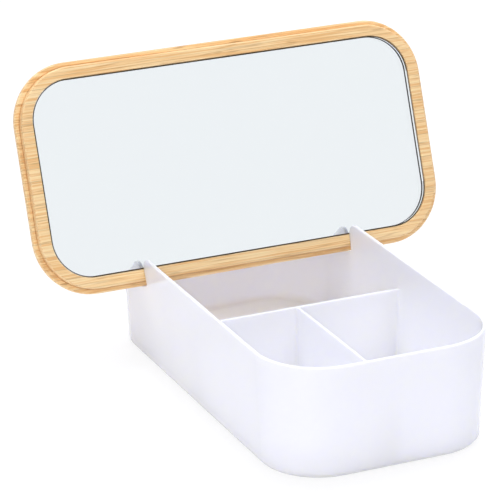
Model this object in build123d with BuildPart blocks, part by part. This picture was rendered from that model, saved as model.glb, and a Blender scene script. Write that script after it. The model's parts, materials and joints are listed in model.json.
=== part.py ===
from build123d import *
import os
from math import cos, radians, sin

# A vanity box: a white moulded tub with three compartments, and a loose bamboo lid
# with a mirror. It is modelled as it stands on display, with the lid upright in two
# slanted slots near the rear. The origin is the middle of the tub's underside, +Y
# runs to the rear and +X to the right of someone who faces the mirror.

# --- the tub, outside ---
box_length = 240.0          # front to back at the rim
box_width = 125.0           # side to side at the rim
box_height = 61.0
corner_radius = 34.5        # plan radius of the four corners at the rim
draft_angle = 2.6           # the walls lean inwards towards the underside
foot_round = 3.0            # between the walls and the underside
wall = 2.0
floor_thickness = 2.0
rim_bevel = 0.5             # both edges of the rim

# --- the dividers, moulded with the tub ---
divider_height = 44.0       # their crests above the underside
divider_thickness = 1.5     # at the crest
divider_draft = 0.6         # each side, so they thicken towards the floor
cross_divider_y = -0.3      # middle of the divider that runs side to side
centre_divider_x = 0.0      # middle of the divider that runs to the front wall
corner_round = 1.5          # upright corners at the dividers
floor_round = 4.0           # between each floor and the sides around it

# --- the lid's board: a flange as large as the rim, and a plug that drops inside it ---
board_thickness = 9.0
plug_height = 4.2
closing_clearance = 0.6     # from the plug to the straight insides of the rim, lid closed
frame_width = 6.4           # bamboo left between the plug's edge and the mirror
flange_radius = 32.3        # plan radii of the corners
plug_radius = 31.0
opening_radius = 22.3
flange_back_round = 3.0
flange_front_bevel = 0.8
plug_bevel = 0.9
opening_bevel = 0.3

# --- the mirror in its pocket ---
glass_thickness = 3.0
glass_recess = 0.6          # below the face of the frame
glass_gap = 0.3             # to the sides of the pocket
glass_bevel = 0.4
tape_thickness = 0.6
tape_width = 18.0
tape_length = 170.0
tape_spacing = 52.0         # between the middles of the two strips

# --- the slots that hold the lid upright ---
lean_angle = 20.5           # the standing lid leans back from the vertical
slot_from_rear = 61.7       # from the rear of the rim to the lower edge of the lid's face
slot_depth = 15.2           # of that edge below the rim
slot_clearance = 0.3        # in front of, behind and under the lid
slot_round = 1.2            # the two corners of the slot's floor
tip_round = 5.6             # where a slot's sides run out into the rim
overcut = 5.0               # by which a cutting tool stands clear of what it cuts

cavity_depth = box_height - floor_thickness
space_over_dividers = box_height - divider_height
plug_inset = wall + closing_clearance
opening_inset = plug_inset + frame_width
pocket_depth = glass_recess + glass_thickness + tape_thickness
slot_y = box_length / 2 - slot_from_rear
lean = radians(lean_angle)

# The standing lid's own plane: its face, with local X to the right and local Y up it.
lid_face = Plane(
    origin=(0, slot_y, box_height - slot_depth),
    x_dir=(1, 0, 0),
    z_dir=(0, -cos(lean), sin(lean)),
)


def rim_outline(inset):
    """The tub's plan at the rim, moved inwards by inset."""
    return RectangleRounded(box_width - 2 * inset, box_length - 2 * inset, corner_radius - inset)


def lid_outline(inset, radius):
    """A rounded rectangle, inset from the sides of the lid, which is as large as the rim."""
    with Locations((0, box_width / 2)):
        return RectangleRounded(box_length - 2 * inset, box_width - 2 * inset, radius)


def divider_side(x, y, direction):
    """A divider's slanted side as a plane, with its normal away from the divider."""
    outwards = Vector(direction)
    crest = Vector(x, y, divider_height) + outwards * divider_thickness / 2
    slope = radians(divider_draft)
    return Plane(origin=crest, z_dir=outwards * cos(slope) + Vector(0, 0, sin(slope)))


cross_rear = divider_side(0, cross_divider_y, (0, 1, 0))
cross_front = divider_side(0, cross_divider_y, (0, -1, 0))
centre_left = divider_side(centre_divider_x, 0, (-1, 0, 0))
centre_right = divider_side(centre_divider_x, 0, (1, 0, 0))

# --- the hollow inside the walls, before anything divides it ---
with BuildPart() as hollow:
    with BuildSketch(Plane.XY.offset(box_height)):
        rim_outline(wall)
    extrude(amount=-cavity_depth, taper=draft_angle)


def compartment(*sides):
    """The part of the hollow beyond the given divider sides, with rounded corners."""
    with BuildPart() as space:
        add(hollow.part)
        for side in sides:
            split(bisect_by=side)
        upright = space.edges().filter_by(Axis.Z, tolerance=2 * draft_angle)
        corners = upright.filter_by(lambda edge: any(side.contains(edge.center()) for side in sides))
        fillet(corners, corner_round)
        fillet(space.faces().sort_by(Axis.Z)[0].edges(), floor_round)
    return space.part


# --- box: the tub, with its compartments, dividers and slots ---
with BuildPart() as box:
    with BuildSketch(Plane.XY.offset(box_height)):
        rim_outline(0)
    extrude(amount=-box_height, taper=draft_angle)
    fillet(box.faces().sort_by(Axis.Z)[0].edges(), foot_round)

    # one space for each compartment, then the one they share above the dividers
    add(compartment(cross_rear), mode=Mode.SUBTRACT)
    add(compartment(cross_front, centre_left), mode=Mode.SUBTRACT)
    add(compartment(cross_front, centre_right), mode=Mode.SUBTRACT)
    with BuildSketch(Plane.XY.offset(box_height)):
        rim_outline(wall)
    extrude(amount=-space_over_dividers, taper=draft_angle, mode=Mode.SUBTRACT)

    chamfer(box.faces().sort_by(Axis.Z)[-1].edges(), rim_bevel)

    # the slots: one slanted cut through both long walls, flared where it meets the rim
    with BuildSketch(Plane.YZ) as slot:
        foot = Vector(slot_y, box_height - slot_depth)
        up = Vector(sin(lean), cos(lean))
        back = Vector(cos(lean), -sin(lean))
        front_low = foot - (back + up) * slot_clearance
        rear_low = front_low + back * (board_thickness + 2 * slot_clearance)
        front_high = front_low + up * ((box_height - front_low.Y) / up.Y)
        rear_high = rear_low + up * ((box_height - rear_low.Y) / up.Y)
        with BuildLine():
            Polyline(front_low, rear_low, rear_high, front_high, close=True)
        make_face()
        fillet(slot.vertices().sort_by(Axis.Y)[:2], slot_round)
        with Locations((front_high + rear_high) / 2):
            Rectangle(rear_high.X - front_high.X + 4 * tip_round, overcut, align=(Align.CENTER, Align.MIN))
        rim_corners = slot.vertices().filter_by_position(Axis.Y, box_height, box_height).sort_by(Axis.X)
        fillet(rim_corners[1:-1], tip_round)
    extrude(amount=box_width / 2 + overcut, both=True, mode=Mode.SUBTRACT)

# --- lid_board: flange, plug and the pocket for the mirror ---
with BuildPart() as lid_board:
    with BuildSketch(lid_face.offset(-board_thickness)):
        lid_outline(0, flange_radius)
    extrude(amount=board_thickness - plug_height)
    across = Axis(lid_face.origin, lid_face.z_dir)
    fillet(lid_board.faces().sort_by(across)[0].edges(), flange_back_round)
    chamfer(lid_board.faces().sort_by(across)[-1].edges(), flange_front_bevel)
    with BuildSketch(lid_face.offset(-plug_height)):
        lid_outline(plug_inset, plug_radius)
    extrude(amount=plug_height)
    chamfer(lid_board.faces().sort_by(across)[-1].edges(), plug_bevel)
    with BuildSketch(lid_face):
        lid_outline(opening_inset, opening_radius)
    extrude(amount=-pocket_depth, mode=Mode.SUBTRACT)
    chamfer(lid_board.faces().sort_by(across)[-1].inner_wires()[0].edges(), opening_bevel)

# --- mirror_glass: the silvered glass, its front edge ground to a small bevel ---
with BuildPart() as mirror_glass:
    with BuildSketch(lid_face.offset(-glass_recess)):
        lid_outline(opening_inset + glass_gap, opening_radius - glass_gap)
    extrude(amount=-glass_thickness)
    chamfer(mirror_glass.faces().sort_by(across)[-1].edges(), glass_bevel)

# --- mirror_tape: two strips that hold the glass to the floor of its pocket ---
with BuildPart() as mirror_tape:
    with BuildSketch(lid_face.offset(-pocket_depth)):
        with Locations((0, box_width / 2)), GridLocations(0, tape_spacing, 1, 2):
            Rectangle(tape_length, tape_width)
    extrude(amount=tape_thickness)

os.makedirs("parts", exist_ok=True)
box.part.label = "box"
lid_board.part.label = "lid_board"
mirror_glass.part.label = "mirror_glass"
mirror_tape.part.label = "mirror_tape"
export_step(box.part, "parts/box.step")
export_step(lid_board.part, "parts/lid_board.step")
export_step(mirror_glass.part, "parts/mirror_glass.step")
export_step(mirror_tape.part, "parts/mirror_tape.step")
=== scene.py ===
import json
from math import atan2, cos, pi, radians, sin

import bmesh
import bpy
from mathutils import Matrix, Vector


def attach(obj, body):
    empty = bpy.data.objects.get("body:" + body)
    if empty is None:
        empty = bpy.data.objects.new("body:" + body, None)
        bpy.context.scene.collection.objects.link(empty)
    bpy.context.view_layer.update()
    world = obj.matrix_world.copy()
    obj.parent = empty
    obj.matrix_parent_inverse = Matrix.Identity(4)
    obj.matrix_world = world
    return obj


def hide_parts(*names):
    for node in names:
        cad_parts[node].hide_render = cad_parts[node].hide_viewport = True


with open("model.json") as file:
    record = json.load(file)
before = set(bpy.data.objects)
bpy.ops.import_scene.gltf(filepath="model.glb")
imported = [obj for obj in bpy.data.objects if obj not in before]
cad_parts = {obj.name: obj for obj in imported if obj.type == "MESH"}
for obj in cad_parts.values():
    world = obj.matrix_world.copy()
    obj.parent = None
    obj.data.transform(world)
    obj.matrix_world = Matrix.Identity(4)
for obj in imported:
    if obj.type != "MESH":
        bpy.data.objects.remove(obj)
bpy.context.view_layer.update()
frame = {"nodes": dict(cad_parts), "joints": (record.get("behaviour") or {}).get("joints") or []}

scene = bpy.context.scene
scene.view_settings.view_transform = "Standard"

# --- camera ---
# It stands about 1.7 m from the box, in front and to the left, and looks down on it
# through a long lens. Its place, turn and focal length were worked out from the photograph.
camera = bpy.data.objects.new("camera", bpy.data.cameras.new("camera"))
camera.location = (-0.61445, -1.33809, 0.63262)
camera.rotation_euler = [radians(angle) for angle in (69.2954, 0.7398, -23.9941)]
camera.data.lens = 216.14
camera.data.sensor_width = 36.0
camera.data.clip_end = 20.0
scene.collection.objects.link(camera)
scene.camera = camera


# --- floor and daylight tent ---
# A pale floor inside a white tent. What the camera, the gloss and the mirror see of both
# is white, and the floor keeps a soft shadow under the box.
def colour(code):
    """An sRGB hex code as linear red, green, blue and alpha."""
    steps = [int(code[place:place + 2], 16) / 255 for place in (1, 3, 5)]
    linear = [step / 12.92 if step <= 0.04045 else ((step + 0.055) / 1.055) ** 2.4 for step in steps]
    return (*linear, 1.0)


def add_node(tree, kind, inputs=None, **settings):
    """Adds a node. Each input takes a value, or another node's output, which is linked."""
    node = tree.nodes.new(kind)
    for name, value in settings.items():
        setattr(node, name, value)
    for socket, value in (inputs or {}).items():
        if isinstance(value, bpy.types.NodeSocket):
            tree.links.new(value, node.inputs[socket])
        else:
            node.inputs[socket].default_value = value
    return node


def new_material(name):
    """An empty node material and its tree."""
    material = bpy.data.materials.new(name)
    material.use_nodes = True
    material.node_tree.nodes.clear()
    return material, material.node_tree


def seen_directly(tree):
    """1 for a camera, mirror or glass ray that no matt surface has scattered, and 0 for all others."""
    path = add_node(tree, "ShaderNodeLightPath")
    seen = add_node(tree, "ShaderNodeMath", {
        0: path.outputs["Is Camera Ray"],
        1: path.outputs["Is Glossy Ray"],
    }, operation="ADD")
    through_glass = add_node(tree, "ShaderNodeMath", {
        0: seen.outputs[0],
        1: path.outputs["Is Transmission Ray"],
    }, operation="ADD", use_clamp=True)
    return add_node(tree, "ShaderNodeMath", {
        0: through_glass.outputs[0],
        1: path.outputs["Diffuse Depth"],
    }, operation="SUBTRACT", use_clamp=True).outputs[0]


tent_light = 0.21
world = bpy.data.worlds.new("tent")
world.use_nodes = True
tree = world.node_tree
tree.nodes.clear()
seen = seen_directly(tree)
strength = add_node(tree, "ShaderNodeMapRange", {
    "Value": seen,
    "To Min": tent_light,
    "To Max": 1.0,
})
tint = add_node(tree, "ShaderNodeMix", {
    "Factor": seen, "A": colour("#F4F4FF"), "B": colour("#FFFFFF"),
}, data_type="RGBA")
background = add_node(tree, "ShaderNodeBackground", {
    "Color": tint.outputs[2],
    "Strength": strength.outputs[0],
})
add_node(tree, "ShaderNodeOutputWorld", {"Surface": background.outputs[0]})
scene.world = world

floor_glow = 0.81            # with the lamps on the shade, just enough for white away from the box
floor_material, tree = new_material("matt_paper_floor")
paper = add_node(tree, "ShaderNodeBsdfDiffuse", {"Color": colour("#FAFAFA")})
shade = add_node(tree, "ShaderNodeBsdfDiffuse", {"Color": colour("#828282")})
glow = add_node(tree, "ShaderNodeEmission", {"Color": colour("#FFFFFF"), "Strength": floor_glow})
seen_floor = add_node(tree, "ShaderNodeAddShader", {0: shade.outputs[0], 1: glow.outputs[0]})
floor_surface = add_node(tree, "ShaderNodeMixShader", {
    0: seen_directly(tree),
    1: paper.outputs[0],
    2: seen_floor.outputs[0],
})
add_node(tree, "ShaderNodeOutputMaterial", {"Surface": floor_surface.outputs[0]})

floor_reach = 3.0
floor_mesh = bpy.data.meshes.new("floor")
floor_mesh.from_pydata(
    [(-floor_reach, -floor_reach, 0), (floor_reach, -floor_reach, 0),
     (floor_reach, floor_reach, 0), (-floor_reach, floor_reach, 0)],
    [], [(0, 1, 2, 3)],
)
floor_mesh.materials.append(floor_material)
floor = bpy.data.objects.new("floor", floor_mesh)
scene.collection.objects.link(floor)

# Four soft boxes stand beside the camera, on the left, overhead and, in cooler daylight, behind.
# Only the small lamp overhead shows in gloss and through the mirror's glass. What these show
# beside it is the white tent. Places and sides are in metres.
middle = Vector((0, 0, 0.05))
for name, place, side, watts, hue, shows in (
    ("front_softbox", Vector((-0.9, -1.6, 1.0)), 1.2, 11.0, "#FCFBFF", False),
    ("left_softbox", Vector((-1.4, -0.3, 0.9)), 1.0, 2.0, "#FCFBFF", False),
    ("overhead_softbox", Vector((0.1, 0.1, 1.5)), 2.0, 17.2, "#FAFAFF", False),
    ("rear_softbox", Vector((0.5, 0.6, 1.5)), 1.4, 18.0, "#DCE2FF", False),
    ("small_overhead_lamp", Vector((0.05, 0.2, 1.5)), 0.25, 3.5, "#FFFFFF", True),
):
    lamp = bpy.data.lights.new(name, "AREA")
    lamp.shape = "SQUARE"
    lamp.size = side
    lamp.energy = watts
    lamp.color = colour(hue)[:3]
    softbox = bpy.data.objects.new(name, lamp)
    softbox.location = place
    softbox.rotation_euler = (middle - place).to_track_quat("-Z", "Y").to_euler()
    softbox.visible_glossy = shows
    softbox.visible_transmission = shows
    scene.collection.objects.link(softbox)

# --- box: the tub with its dividers ---
# One injection moulding in white polystyrene from a polished tool: a clear gloss all over,
# and light that passes a little way into the walls and evens out their shade. The crests of
# the dividers and the lips of the slots are eased, as any edge of a moulding is.
plastic, tree = new_material("injection_moulded_polystyrene")
wave_length = 0.028          # metres from one low wave of the surface to the next
wave_height = 0.0008
place = add_node(tree, "ShaderNodeTexCoord").outputs["Object"]
waves = add_node(tree, "ShaderNodeTexNoise", {"Vector": place, "Scale": 1 / wave_length, "Detail": 1.0})
bump = add_node(tree, "ShaderNodeBump", {
    "Height": waves.outputs["Fac"], "Strength": 0.15, "Distance": wave_height,
})
skin = add_node(tree, "ShaderNodeBsdfPrincipled", {
    "Base Color": colour("#FBFBFD"),
    "Roughness": 0.12,
    "IOR": 1.55,
    "Subsurface Weight": 1.0,
    "Subsurface Radius": (1.0, 1.0, 1.2),
    "Subsurface Scale": 0.003,
    "Normal": bump.outputs[0],
})
add_node(tree, "ShaderNodeOutputMaterial", {"Surface": skin.outputs[0]})


def solid_copy(node, name, material):
    """A CAD node's solid as a piece of its own, with its loose triangles merged."""
    same_point = 1e-5
    same_plane = radians(0.3)
    mesh = frame["nodes"][node].data.copy()
    mesh.name = name
    form = bmesh.new()
    form.from_mesh(mesh)
    bmesh.ops.remove_doubles(form, verts=form.verts, dist=same_point)
    bmesh.ops.dissolve_limit(form, angle_limit=same_plane, verts=form.verts, edges=form.edges)
    form.to_mesh(mesh)
    form.free()
    mesh.materials.clear()
    mesh.materials.append(material)
    piece = bpy.data.objects.new(name, mesh)
    scene.collection.objects.link(piece)
    return piece


def finish_faces(piece, sharp_from):
    """Shades the curved faces smooth, and keeps the flat ones flat up to their edges."""
    piece.data.shade_smooth()
    piece.data.set_sharp_from_angle(angle=radians(sharp_from))
    weighted = piece.modifiers.new("flat_faces", "WEIGHTED_NORMAL")
    weighted.keep_sharp = True


tub = solid_copy("box", "moulded_tub", plastic)
tub_edge = 35                # degrees from which two faces meet in an edge
eased = tub.modifiers.new("eased_edges", "BEVEL")
eased.width = 0.0004
eased.segments = 3
eased.limit_method = "ANGLE"
eased.angle_limit = radians(tub_edge)
finish_faces(tub, tub_edge)
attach(tub, "tub")
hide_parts("box")

# --- lid_board: flange, plug and pocket in one board ---
# Laminated bamboo: strips as long as the board, glued edge to edge, then routed to shape,
# sanded and given a thin clear lacquer. The strips differ a little in colour, and show dark
# glue lines, fine wavy fibres and, here and there, the short marks of a node.
lift = frame["joints"][0]["axis"]
lean = atan2(lift[1], lift[2])

bamboo, tree = new_material("laminated_bamboo_clear_lacquer")
strip_width = 0.0068
fibre_width = 0.0009         # real bundles of fibres are half as wide; drawn as fine as they show
fibre_length = 0.045
fibre_height = 0.0002
line_spacing = 0.002
fleck_width = 0.0009
fleck_length = 0.009
fleck_spacing = 2.2 * fleck_width
sways_per_metre = 12.0
sway_reach = 0.002
strip_shift = 0.4            # metres by which the fibres of two strips may lie apart
patches_per_metre = 60.0     # nodes of the stem, where the flecks gather
place = add_node(tree, "ShaderNodeTexCoord").outputs["Object"]
board = add_node(tree, "ShaderNodeMapping", {
    "Vector": place, "Rotation": (lean - pi / 2, 0, 0),
}).outputs[0]

# fibres wander a little to and fro along the strips
sway = add_node(tree, "ShaderNodeTexNoise", {"Vector": board, "Scale": sways_per_metre, "Detail": 1.0})
to_side = add_node(tree, "ShaderNodeMath", {0: sway.outputs["Fac"], 1: 0.5}, operation="SUBTRACT")
way = add_node(tree, "ShaderNodeMath", {0: to_side.outputs[0], 1: sway_reach}, operation="MULTIPLY")
sidestep = add_node(tree, "ShaderNodeCombineXYZ", {"Y": way.outputs[0], "Z": way.outputs[0]})
wavy = add_node(tree, "ShaderNodeVectorMath", {
    0: board, 1: sidestep.outputs[0],
}, operation="ADD").outputs[0]

axes = add_node(tree, "ShaderNodeSeparateXYZ", {0: board})
across = add_node(tree, "ShaderNodeMath", {
    0: axes.outputs["Y"], 1: 1 / strip_width,
}, operation="MULTIPLY")
strip_pattern = {"W": across.outputs[0], "Scale": 1.0, "Randomness": 0.6}
strips = add_node(tree, "ShaderNodeTexVoronoi", strip_pattern, voronoi_dimensions="1D")
seams = add_node(
    tree, "ShaderNodeTexVoronoi", strip_pattern,
    voronoi_dimensions="1D", feature="DISTANCE_TO_EDGE",
)
strip_tone = add_node(tree, "ShaderNodeSeparateColor", {0: strips.outputs["Color"]})

# each strip has its own fibres: its random tone shifts them along the board
shift = add_node(tree, "ShaderNodeMath", {
    0: strip_tone.outputs[1], 1: strip_shift,
}, operation="MULTIPLY")
shifted = add_node(tree, "ShaderNodeCombineXYZ", {"X": shift.outputs[0], "Z": shift.outputs[0]})
own = add_node(tree, "ShaderNodeVectorMath", {
    0: wavy, 1: shifted.outputs[0],
}, operation="ADD").outputs[0]
stretch = add_node(tree, "ShaderNodeMapping", {
    "Vector": own, "Scale": (fibre_width / fibre_length, 1.0, 1.0),
})
fibres = add_node(tree, "ShaderNodeTexNoise", {
    "Vector": stretch.outputs[0], "Scale": 1 / fibre_width, "Detail": 3.0, "Roughness": 0.6,
})
fleck_place = add_node(tree, "ShaderNodeMapping", {
    "Vector": own, "Scale": (fleck_width / fleck_length, 1.0, 1.0),
})
flecks = add_node(tree, "ShaderNodeTexVoronoi", {
    "Vector": fleck_place.outputs[0], "Scale": 1 / fleck_spacing, "Randomness": 1.0,
})
fleck = add_node(tree, "ShaderNodeMapRange", {
    "Value": flecks.outputs["Distance"],
    "From Min": 0.16, "From Max": 0.30, "To Min": 1.0, "To Max": 0.0,
})
patches = add_node(tree, "ShaderNodeTexNoise", {
    "Vector": wavy, "Scale": patches_per_metre, "Detail": 1.0,
})
patch = add_node(tree, "ShaderNodeMapRange", {
    "Value": patches.outputs["Fac"], "From Min": 0.48, "From Max": 0.66,
})
marks = add_node(tree, "ShaderNodeMath", {
    0: fleck.outputs[0], 1: patch.outputs[0],
}, operation="MULTIPLY")
glue = add_node(tree, "ShaderNodeMapRange", {
    "Value": seams.outputs["Distance"],
    "From Min": 0.012, "From Max": 0.045, "To Min": 1.0, "To Max": 0.0,
})

# fine dark lines run where a stretched noise crosses its middle
lines = add_node(tree, "ShaderNodeTexNoise", {
    "Vector": stretch.outputs[0], "Scale": 1 / line_spacing, "Detail": 1.0,
})
off_middle = add_node(tree, "ShaderNodeMath", {0: lines.outputs["Fac"], 1: 0.5}, operation="SUBTRACT")
near_middle = add_node(tree, "ShaderNodeMath", {0: off_middle.outputs[0]}, operation="ABSOLUTE")
dark_line = add_node(tree, "ShaderNodeMapRange", {
    "Value": near_middle.outputs[0], "From Min": 0.0, "From Max": 0.03, "To Min": 1.0, "To Max": 0.0,
})

fibre_tone = add_node(tree, "ShaderNodeMapRange", {
    "Value": fibres.outputs["Fac"], "From Min": 0.3, "From Max": 0.7,
})
tone = add_node(tree, "ShaderNodeMix", {
    "Factor": 0.8, "A": strip_tone.outputs[0], "B": fibre_tone.outputs[0],
})
tones = add_node(tree, "ShaderNodeValToRGB", {"Fac": tone.outputs[0]})
tones.color_ramp.elements[0].position = 0.25
tones.color_ramp.elements[0].color = colour("#EFBD7C")
tones.color_ramp.elements[1].position = 0.75
tones.color_ramp.elements[1].color = colour("#FFE2AC")
tones.color_ramp.elements.new(0.5).color = colour("#F9D398")
wood = tones.outputs[0]
for stain, depth, code in (
    (marks, 0.55, "#9A6B3C"),
    (glue, 0.3, "#A87844"),
    (dark_line, 0.45, "#B98A55"),
):
    amount = add_node(tree, "ShaderNodeMath", {0: stain.outputs[0], 1: depth}, operation="MULTIPLY")
    wood = add_node(tree, "ShaderNodeMix", {
        "Factor": amount.outputs[0], "A": wood, "B": colour(code),
    }, data_type="RGBA").outputs[2]
grain = add_node(tree, "ShaderNodeBump", {
    "Height": fibres.outputs["Fac"], "Strength": 0.12, "Distance": fibre_height,
})
skin = add_node(tree, "ShaderNodeBsdfPrincipled", {
    "Base Color": wood,
    "Roughness": 0.42,
    "IOR": 1.5,
    "Normal": grain.outputs[0],
})
add_node(tree, "ShaderNodeOutputMaterial", {"Surface": skin.outputs[0]})

# The board's outline is a rounded rectangle at every depth. The tree draws the section from
# the back, over the flange and plug and down into the pocket, and carries it round the board.
# A fine groove runs round the foot of the plug. Heights are over the plug's face, and each
# centre is how far in from the board's square edges a round corner is centred.
shape = bpy.data.node_groups.new("routed_board", "GeometryNodeTree")
board_sizes = {
    "Half Length": 0.120, "Half Width": 0.0625, "Back": -0.009, "Ledge": -0.0042, "Pocket": -0.0042,
    "Groove Floor": -0.0042 - 0.0005, "Back Inset": 0.006, "Plug Inset": 0.0026,
    "Groove Inset": 0.0026 - 0.0004, "Opening Inset": 0.009, "Flange Centre": 0.0323,
    "Plug Centre": 0.0026 + 0.031, "Opening Centre": 0.009 + 0.0223, "Back Round": 0.003,
    "Front Round": 0.001, "Plug Round": 0.0009, "Opening Round": 0.0003, "Corner Steps": 24.0,
}
for name in board_sizes:
    shape.interface.new_socket(name=name, in_out="INPUT", socket_type="NodeSocketFloat")
shape.interface.new_socket(name="Finish", in_out="INPUT", socket_type="NodeSocketMaterial")
shape.interface.new_socket(name="Board", in_out="OUTPUT", socket_type="NodeSocketGeometry")
sizes = add_node(shape, "NodeGroupInput").outputs

# each corner of the section: its inset, height, rounding and centre
section = (
    ("Back Inset", "Back", None, "Flange Centre"),
    (None, "Back", "Back Round", "Flange Centre"),
    (None, "Ledge", "Front Round", "Flange Centre"),
    ("Groove Inset", "Ledge", None, "Plug Centre"),
    ("Groove Inset", "Groove Floor", None, "Plug Centre"),
    ("Plug Inset", "Groove Floor", None, "Plug Centre"),
    ("Plug Inset", None, "Plug Round", "Plug Centre"),
    ("Opening Inset", None, "Opening Round", "Opening Centre"),
    ("Opening Inset", "Pocket", None, "Opening Centre"),
)
number = add_node(shape, "GeometryNodeInputIndex").outputs[0]
columns = []
for column in zip(*section):
    switch = add_node(shape, "GeometryNodeIndexSwitch", {"Index": number}, data_type="FLOAT")
    while len(switch.index_switch_items) < len(section):
        switch.index_switch_items.new()
    for row, name in enumerate(column):
        if name:
            shape.links.new(sizes[name], switch.inputs[str(row)])
    columns.append(switch.outputs[0])
inset, height, rounding, centre = columns
spot = add_node(shape, "ShaderNodeCombineXYZ", {"X": inset, "Y": height})
line = add_node(shape, "GeometryNodeMeshLine", {"Count": len(section)})
bent = add_node(shape, "GeometryNodeSetPosition", {
    "Geometry": line.outputs[0], "Position": spot.outputs[0],
})
drawn = add_node(shape, "GeometryNodeMeshToCurve", {"Mesh": bent.outputs[0]})
marked = add_node(shape, "GeometryNodeCaptureAttribute", {"Geometry": drawn.outputs[0]})
marked.capture_items.new("FLOAT", "Rounding")
marked.capture_items.new("FLOAT", "Centre")
shape.links.new(rounding, marked.inputs["Rounding"])
shape.links.new(centre, marked.inputs["Centre"])
rounded = add_node(shape, "GeometryNodeFilletCurve", {
    "Curve": marked.outputs[0], "Count": 5, "Radius": marked.outputs["Rounding"],
}, mode="POLY")
routed = add_node(shape, "GeometryNodeCaptureAttribute", {"Geometry": rounded.outputs[0]})
routed.capture_items.new("VECTOR", "Spot")
shape.links.new(add_node(shape, "GeometryNodeInputPosition").outputs[0], routed.inputs["Spot"])

# the way round the board: each of its four corners takes Corner Steps + 1 points
points = add_node(shape, "ShaderNodeMath", {0: sizes["Corner Steps"], 1: 1.0})
all_points = add_node(shape, "ShaderNodeMath", {0: points.outputs[0], 1: 4.0}, operation="MULTIPLY")
ring = add_node(shape, "GeometryNodeCurvePrimitiveCircle", {"Resolution": all_points.outputs[0]})
counted = add_node(shape, "GeometryNodeCaptureAttribute", {"Geometry": ring.outputs[0]})
counted.capture_items.new("FLOAT", "Count")
shape.links.new(number, counted.inputs["Count"])
swept = add_node(shape, "GeometryNodeCurveToMesh", {
    "Curve": counted.outputs[0], "Profile Curve": routed.outputs[0],
})

# the turn at each point, from its corner's number and its step round that corner
count = counted.outputs["Count"]
share = add_node(shape, "ShaderNodeMath", {0: count, 1: points.outputs[0]}, operation="DIVIDE")
corner = add_node(shape, "ShaderNodeMath", {0: share.outputs[0]}, operation="FLOOR")
step = add_node(shape, "ShaderNodeMath", {0: count, 1: points.outputs[0]}, operation="MODULO")
part = add_node(shape, "ShaderNodeMath", {
    0: step.outputs[0], 1: sizes["Corner Steps"],
}, operation="DIVIDE")
quarters = add_node(shape, "ShaderNodeMath", {0: corner.outputs[0], 1: part.outputs[0]})
turn = add_node(shape, "ShaderNodeMath", {0: quarters.outputs[0], 1: pi / 2}, operation="MULTIPLY")

# the point itself: the corner's centre, and an arm swung round it
quadrant = add_node(shape, "GeometryNodeIndexSwitch", {"Index": corner.outputs[0]}, data_type="VECTOR")
for place, signs in enumerate(((1, 1, 0), (-1, 1, 0), (-1, -1, 0), (1, -1, 0))):
    if place >= len(quadrant.index_switch_items):
        quadrant.index_switch_items.new()
    quadrant.inputs[str(place)].default_value = signs
half_board = add_node(shape, "ShaderNodeCombineXYZ", {
    "X": sizes["Half Length"], "Y": sizes["Half Width"],
})
reach = add_node(shape, "ShaderNodeVectorMath", {
    0: half_board.outputs[0], 1: marked.outputs["Centre"],
}, operation="SUBTRACT")
hub = add_node(shape, "ShaderNodeVectorMath", {
    0: reach.outputs[0], 1: quadrant.outputs[0],
}, operation="MULTIPLY")
swept_spot = add_node(shape, "ShaderNodeSeparateXYZ", {0: routed.outputs["Spot"]}).outputs
radius = add_node(shape, "ShaderNodeMath", {
    0: marked.outputs["Centre"], 1: swept_spot["X"],
}, operation="SUBTRACT")
arm = add_node(shape, "ShaderNodeCombineXYZ", {"X": radius.outputs[0], "Z": swept_spot["Y"]})
swung = add_node(shape, "ShaderNodeVectorRotate", {
    "Vector": arm.outputs[0], "Angle": turn.outputs[0],
}, rotation_type="Z_AXIS")
placed = add_node(shape, "ShaderNodeVectorMath", {
    0: hub.outputs[0], 1: swung.outputs[0],
}, operation="ADD")
moved = add_node(shape, "GeometryNodeSetPosition", {
    "Geometry": swept.outputs[0], "Position": placed.outputs[0],
})
merged = add_node(shape, "GeometryNodeMergeByDistance", {
    "Geometry": moved.outputs[0], "Distance": 1e-6,
})
realised = add_node(shape, "GeometryNodeRealizeInstances", {"Geometry": merged.outputs[0]})
finished = add_node(shape, "GeometryNodeSetMaterial", {
    "Geometry": realised.outputs[0], "Material": sizes["Finish"],
})
add_node(shape, "NodeGroupOutput", {"Board": finished.outputs[0]})

blank = bpy.data.objects.new("blank", bpy.data.meshes.new("blank"))
scene.collection.objects.link(blank)
routing = blank.modifiers.new("routed_board", "NODES")
routing.node_group = shape
for item in shape.interface.items_tree:
    if item.in_out == "INPUT":
        routing[item.identifier] = bamboo if item.name == "Finish" else board_sizes[item.name]
bpy.context.view_layer.update()
board_mesh = bpy.data.meshes.new_from_object(blank.evaluated_get(bpy.context.evaluated_depsgraph_get()))
bpy.data.objects.remove(blank)

# the back and the floor of the pocket close the form, which then leans back in the slots. Its
# foot is the middle of the lower edge of the board's face, as the CAD board stands in the frame.
up_lid = Vector((0, sin(lean), cos(lean)))
out_of_lid = Vector((0, -cos(lean), sin(lean)))
cad_points = [vertex.co for vertex in frame["nodes"]["lid_board"].data.vertices]
lowest = min(point.dot(up_lid) for point in cad_points)
foremost = max(point.dot(out_of_lid) for point in cad_points)
lid_foot = lowest * up_lid + foremost * out_of_lid
form = bmesh.new()
form.from_mesh(board_mesh)
bmesh.ops.holes_fill(form, edges=[edge for edge in form.edges if edge.is_boundary], sides=0)
for vertex in form.verts:
    x, y, z = vertex.co
    vertex.co = lid_foot + Vector((x, 0, 0)) + up_lid * (y + board_sizes["Half Width"]) + out_of_lid * z
bmesh.ops.recalc_face_normals(form, faces=form.faces)
form.to_mesh(board_mesh)
form.free()
board_mesh.name = "bamboo_board"
lid_board = bpy.data.objects.new("bamboo_board", board_mesh)
scene.collection.objects.link(lid_board)
finish_faces(lid_board, sharp_from=40)
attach(lid_board, "lid")
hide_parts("lid_board")

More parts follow.
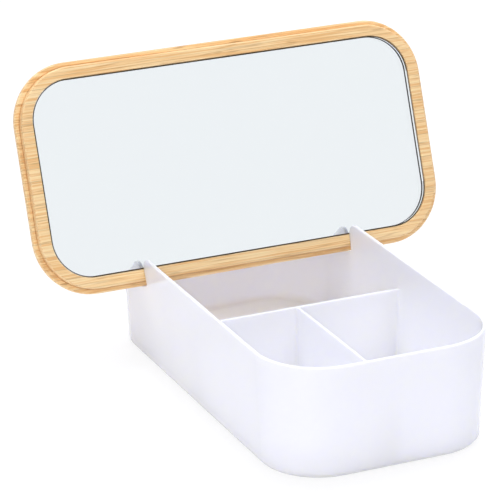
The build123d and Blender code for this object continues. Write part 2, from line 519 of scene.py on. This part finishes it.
# --- mirror_glass: the silvered glass in its pocket ---
# A pane of clear float glass with its front edge ground, silvered on the back, so that the
# reflection lies behind its thickness. Its ground bevel carries dark mirror-backing paint, and
# this paint is also painted shade: it stands in for the shade in the thin gap between glass and
# frame, and shows as a fine dark line along the frame.
clear, tree = new_material("clear_float_glass")
skin = add_node(tree, "ShaderNodeBsdfPrincipled", {
    "Base Color": colour("#FBFDFD"),
    "Roughness": 0.0,
    "IOR": 1.52,
    "Transmission Weight": 1.0,
})
add_node(tree, "ShaderNodeOutputMaterial", {"Surface": skin.outputs[0]})

silver, tree = new_material("silvering_on_glass")
skin = add_node(tree, "ShaderNodeBsdfPrincipled", {
    "Base Color": colour("#F1F4F7"),
    "Metallic": 1.0,
    "Roughness": 0.0,
})
add_node(tree, "ShaderNodeOutputMaterial", {"Surface": skin.outputs[0]})

# dark sealing paint for the ground bevel, which also serves as painted shade for the gap round the
# glass
sealing_paint_and_gap_shade, tree = new_material("mirror_backing_paint_and_painted_gap_shade")
brush_width = 0.003
place = add_node(tree, "ShaderNodeTexCoord").outputs["Object"]
strokes = add_node(tree, "ShaderNodeTexNoise", {
    "Vector": place, "Scale": 1 / brush_width, "Detail": 2.0,
})
shades = add_node(tree, "ShaderNodeMix", {
    "Factor": strokes.outputs["Fac"], "A": colour("#2A241F"), "B": colour("#4A4138"),
}, data_type="RGBA")
skin = add_node(tree, "ShaderNodeBsdfPrincipled", {"Base Color": shades.outputs[2], "Roughness": 0.6})
add_node(tree, "ShaderNodeOutputMaterial", {"Surface": skin.outputs[0]})

mirror = solid_copy("mirror_glass", "silvered_mirror", clear)
mirror.data.materials.append(silver)
mirror.data.materials.append(sealing_paint_and_gap_shade)
paint_thickness = 0.00008    # behind the silver, and left free so that it doesn't meet the tape
nearly_none = 0.01
for face in mirror.data.polygons:
    facing = face.normal.dot(out_of_lid)
    if facing < nearly_none - 1:
        face.material_index = mirror.data.materials.find(silver.name)
        for corner in face.vertices:
            mirror.data.vertices[corner].co += out_of_lid * paint_thickness
    # the ground bevel takes the dark paint: a seal, and painted shade of the gap beside it
    elif nearly_none < facing < 1 - nearly_none:
        face.material_index = mirror.data.materials.find(sealing_paint_and_gap_shade.name)
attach(mirror, "lid")
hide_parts("mirror_glass")

# --- mirror_tape: two strips behind the glass ---
# White acrylic foam tape, matt, with the fine open cells of a cut foam edge. It is hidden
# between the glass and the floor of the pocket.
foam, tree = new_material("acrylic_foam_tape")
cell_width = 0.0006          # real cells are a third of this; drawn as fine as they show
cell_depth = 0.0001
place = add_node(tree, "ShaderNodeTexCoord").outputs["Object"]
cells = add_node(tree, "ShaderNodeTexVoronoi", {"Vector": place, "Scale": 1 / cell_width})
bump = add_node(tree, "ShaderNodeBump", {
    "Height": cells.outputs["Distance"], "Strength": 0.4, "Distance": cell_depth,
})
skin = add_node(tree, "ShaderNodeBsdfPrincipled", {
    "Base Color": colour("#E4E4E0"),
    "Roughness": 0.9,
    "Normal": bump.outputs[0],
})
add_node(tree, "ShaderNodeOutputMaterial", {"Surface": skin.outputs[0]})
mirror_tape = frame["nodes"]["mirror_tape"]
mirror_tape.data.materials.clear()
mirror_tape.data.materials.append(foam)
